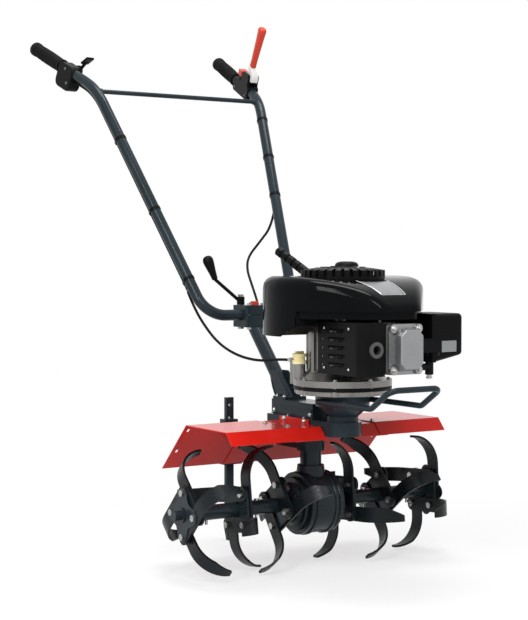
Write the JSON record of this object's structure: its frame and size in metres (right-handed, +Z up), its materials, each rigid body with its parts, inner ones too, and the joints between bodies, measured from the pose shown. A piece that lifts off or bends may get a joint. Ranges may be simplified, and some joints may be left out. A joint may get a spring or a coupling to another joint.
{
  "type": "garden tiller",
  "caption": "Petrol garden tiller with a curved-blade tine rotor, red guards, vertical-shaft engine, drag stake and tilting handlebar with clutch and throttle controls.",
  "frame": {"origin": "on the ground under the middle of the machine's length and width", "axes": "+Z up, -Y towards the front, where the engine's bumper is, +X to the operator's left"},
  "size_m": [0.679, 1.2022, 1.2476],
  "materials": {
    "frame_paint": "satin dark grey paint",
    "tine_paint": "satin black paint",
    "guard_paint": "gloss red paint",
    "steel": "plain steel",
    "iron": "machined",
    "alloy": "as cast",
    "engine_paint": "heat-proof matt black",
    "cowl": "polished black",
    "black_plastic": "moulded",
    "rubber": "matt",
    "red_plastic": "moulded",
    "white_plastic": "moulded",
    "yellow_plastic": "moulded",
    "rope": "braided"
  },
  "bodies": {
    "chassis": {"gearbox_halves": "tine_paint", "bearing_covers": "tine_paint", "bearings": "steel", "drive_belt": "rubber", "drive_case": "frame_paint", "engine_adaptor": "frame_paint", "guard_centre": "guard_paint", "guard_wings": "guard_paint", "stake_arm": "frame_paint", "stake_screw": "steel", "front_bumper": "frame_paint", "sump": "alloy", "crankcase": "alloy", "cylinder": "alloy", "cylinder_head": "alloy", "valve_cover": "alloy", "spark_plug_boot": "rubber", "muffler": "engine_paint", "heat_shield": "engine_paint", "exhaust_outlet": "steel", "carburettor": "alloy", "air_filter": "black_plastic", "engine_cowl": "cowl", "fuel_tank": "black_plastic", "recoil_cover": "black_plastic", "handle_stem": "frame_paint", "bar_clamp": "frame_paint", "clamp_bolts": "steel", "clutch_cable": "rubber", "throttle_cable": "rubber"},
    "rotor": {"tines_outer": "tine_paint", "tines_mid": "tine_paint", "tines_inner": "tine_paint", "tine_sleeves": "tine_paint", "rotor_shaft": "steel", "rotor_fasteners": "steel", "bevel_wheel": "iron"},
    "input": {"input_shaft": "steel", "driven_pulley": "iron"},
    "crank": {"crankshaft": "steel", "flywheel": "iron", "drive_pulley": "iron"},
    "stake": {"drag_stake": "frame_paint"},
    "handle": {"handlebar": "frame_paint", "handle_grips": "rubber", "throttle_housing": "black_plastic", "clutch_perch": "black_plastic", "clipped_cables": "rubber", "cable_clips": "black_plastic"},
    "throttle": {"throttle_lever": "black_plastic"},
    "clutch": {"clutch_lever": "red_plastic", "clutch_cam": "white_plastic"},
    "lock": {"lock_button": "red_plastic"},
    "clamp_handle": {"clamp_lever": "steel", "clamp_lever_knob": "black_plastic"},
    "starter": {"starter_grip": "black_plastic", "starter_rope": "rope"},
    "fuel_lid": {"fuel_cap": "black_plastic"},
    "oil_lid": {"oil_cap": "yellow_plastic"}
  },
  "joints": [
    {"name": "rotor_spin", "type": "hinge", "parent": "chassis", "child": "rotor", "pos_m": [0, -0.2331, 0.137], "axis": [1, 0, 0], "continuous": true},
    {"name": "input_spin", "type": "hinge", "parent": "chassis", "child": "input", "pos_m": [0, -0.2331, 0.3], "axis": [0, 0, 1], "continuous": true},
    {"name": "crank_spin", "type": "hinge", "parent": "chassis", "child": "crank", "pos_m": [0, -0.3501, 0.45], "axis": [0, 0, 1], "continuous": true},
    {"name": "stake_slide", "type": "slide", "parent": "chassis", "child": "stake", "axis": [0, 0, 1], "range_m": [-0.09, 0.09]},
    {"name": "handle_tilt", "type": "hinge", "parent": "chassis", "child": "handle", "pos_m": [0, 0.0059, 0.534], "axis": [1, 0, 0], "range_deg": [-15, 15], "deforming": ["clutch_cable", "throttle_cable"]},
    {"name": "throttle_turn", "type": "hinge", "parent": "handle", "child": "throttle", "pos_m": [-0.2244, 0.43737, 1.11928], "axis": [-0.9897, -0.143, 0], "range_deg": [0, 50]},
    {"name": "clutch_squeeze", "type": "hinge", "parent": "handle", "child": "clutch", "pos_m": [0.2367, 0.38616, 1.12965], "axis": [-0.9897, 0.143, 0], "range_deg": [0, 65], "stiffness_Nm_per_rad": 1.5, "springref_deg": -14.32},
    {"name": "lock_press", "type": "slide", "parent": "handle", "child": "lock", "axis": [0.0602, 0.4165, -0.9071], "range_m": [0, 0.004], "stiffness_N_per_m": 600, "springref_m": -0.002},
    {"name": "clamp_turn", "type": "hinge", "parent": "chassis", "child": "clamp_handle", "pos_m": [-0.014, 0.0299, 0.565], "axis": [0, 0, 1], "range_deg": [-40, 40]},
    {"name": "starter_pull", "type": "slide", "parent": "chassis", "child": "starter", "axis": [-0.184, 0.8542, 0.4863], "range_m": [0, 0.04], "stiffness_N_per_m": 150, "springref_m": -0.02},
    {"name": "fuel_cap_turn", "type": "hinge", "parent": "chassis", "child": "fuel_lid", "pos_m": [0.076, -0.2591, 0.64], "axis": [0, 0, 1], "range_deg": [0, 120]},
    {"name": "oil_cap_turn", "type": "hinge", "parent": "chassis", "child": "oil_lid", "pos_m": [-0.08, -0.3071, 0.45], "axis": [0, 0, 1], "range_deg": [0, 120]}
  ],
  "couplings": [
    {"joint": "input_spin", "follows": "rotor_spin", "ratio": -3.5},
    {"joint": "crank_spin", "follows": "rotor_spin", "ratio": -4.5769}
  ]
}
